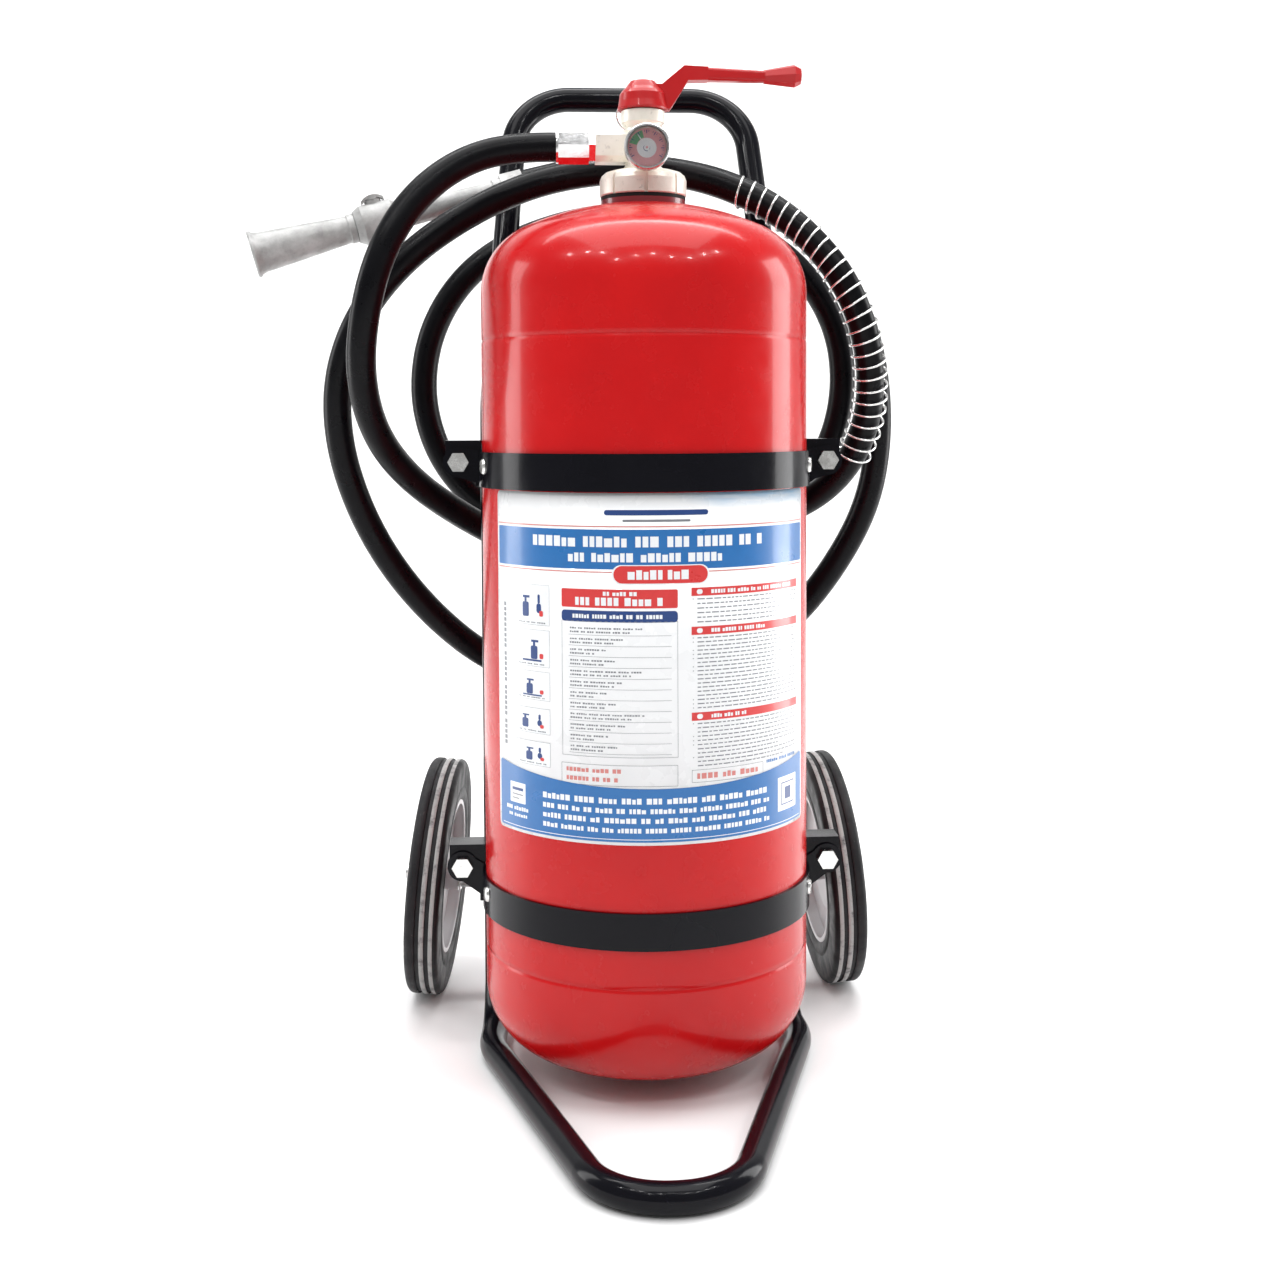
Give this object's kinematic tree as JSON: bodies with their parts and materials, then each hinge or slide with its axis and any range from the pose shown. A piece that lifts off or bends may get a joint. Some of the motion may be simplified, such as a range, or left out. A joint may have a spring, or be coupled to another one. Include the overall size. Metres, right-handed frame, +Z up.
{
  "type": "wheeled fire extinguisher",
  "caption": "Tall red powder extinguisher strapped to a black tubular trolley, with a quarter-turn valve, gauge, looped black hose and metal nozzle.",
  "frame": {"origin": "on the floor, under the middle of the object's box without its hose, spring guard and nozzle", "axes": "+Z up along the vessel, front with the label towards -Y, wheels towards +Y, valve lever towards +X"},
  "size_m": [0.6428, 0.6325, 0.946],
  "materials": {
    "red_paint": "gloss red enamel",
    "neck_paint": "dark red enamel",
    "powder": "fine pale powder, hidden",
    "dip_plastic": "plain plastic, hidden",
    "label_print": "satin printed sheet, white with blue and red",
    "gasket_rubber": "matte",
    "nickel": "pale nickel-plated brass, satin",
    "steel": "turned",
    "lever_red": "satin red coating",
    "zinc": "bright zinc plate",
    "dial_print": "printed dial",
    "lens_clear": "clear",
    "hose_rubber": "satin black",
    "cast_alloy": "cast, bead-blasted",
    "black_paint": "gloss black enamel",
    "tyre_rubber": "solid rubber",
    "rim_steel": "silver",
    "bush_plastic": "nylon"
  },
  "bodies": {
    "frame": {"cylinder_shell": "red_paint", "neck_ring": "neck_paint", "powder_charge": "powder", "dip_tube": "dip_plastic", "label": "label_print", "gasket": "gasket_rubber", "ring_nut": "nickel", "valve_body": "nickel", "bonnet_collar": "nickel", "gauge_case": "nickel", "gauge_dial": "dial_print", "gauge_lens": "lens_clear", "gauge_bezel": "steel", "outlet_adaptor": "zinc", "hose_ferrule": "zinc", "hose": "hose_rubber", "spring_guard": "zinc", "nozzle_coupling": "cast_alloy", "nozzle_tube": "cast_alloy", "nozzle_valve_body": "cast_alloy", "nozzle_barrel": "cast_alloy", "handle_tube": "black_paint", "foot_tube": "black_paint", "upper_strap": "black_paint", "lower_strap": "black_paint", "upper_lugs": "black_paint", "lower_lugs": "black_paint", "rear_saddles": "black_paint", "hose_hook": "black_paint", "strap_rivets": "zinc", "strap_bolts": "zinc", "strap_washers": "zinc", "strap_nuts": "zinc", "axle_beam": "black_paint", "axle_brackets": "black_paint", "stub_axle_left": "steel", "axle_washers_left": "zinc", "axle_nut_left": "zinc", "stub_axle_right": "steel", "axle_washers_right": "zinc", "axle_nut_right": "zinc"},
    "valve_lever": {"lever": "lever_red", "lever_screw": "zinc", "stem_ball": "steel"},
    "pin": {"safety_pin": "steel", "pull_ring": "steel"},
    "needle": {"gauge_needle": "steel"},
    "nozzle_shutoff": {"nozzle_lever": "cast_alloy", "nozzle_ball": "steel"},
    "wheel_left": {"tyre_left": "tyre_rubber", "rim_left": "rim_steel", "hub_bush_left": "bush_plastic"},
    "wheel_right": {"tyre_right": "tyre_rubber", "rim_right": "rim_steel", "hub_bush_right": "bush_plastic"}
  },
  "joints": [
    {"name": "valve_lever_turn", "type": "hinge", "parent": "frame", "child": "valve_lever", "pos_m": [0, -0.0015, 0.907], "axis": [0, 0, 1], "range_deg": [-90, 0]},
    {"name": "safety_pin_slide", "type": "slide", "parent": "valve_lever", "child": "pin", "axis": [0, 1, 0], "range_m": [0, 0.04]},
    {"name": "gauge_needle_turn", "type": "hinge", "parent": "frame", "child": "needle", "pos_m": [0, -0.0535, 0.8425], "axis": [0, -1, 0], "range_deg": [-120, 90]},
    {"name": "nozzle_lever_turn", "type": "hinge", "parent": "frame", "child": "nozzle_shutoff", "pos_m": [-0.25008, 0.07863, 0.79226], "axis": [-0.2694, -0.0385, 0.9623], "range_deg": [0, 90]},
    {"name": "wheel_left_spin", "type": "hinge", "parent": "frame", "child": "wheel_left", "pos_m": [-0.206, 0.1945, 0.12201], "axis": [-0.993, 0.0869, 0.0802], "continuous": true},
    {"name": "wheel_right_spin", "type": "hinge", "parent": "frame", "child": "wheel_right", "pos_m": [0.206, 0.1945, 0.12201], "axis": [0.9962, 0.0348, 0.0802], "continuous": true}
  ]
}
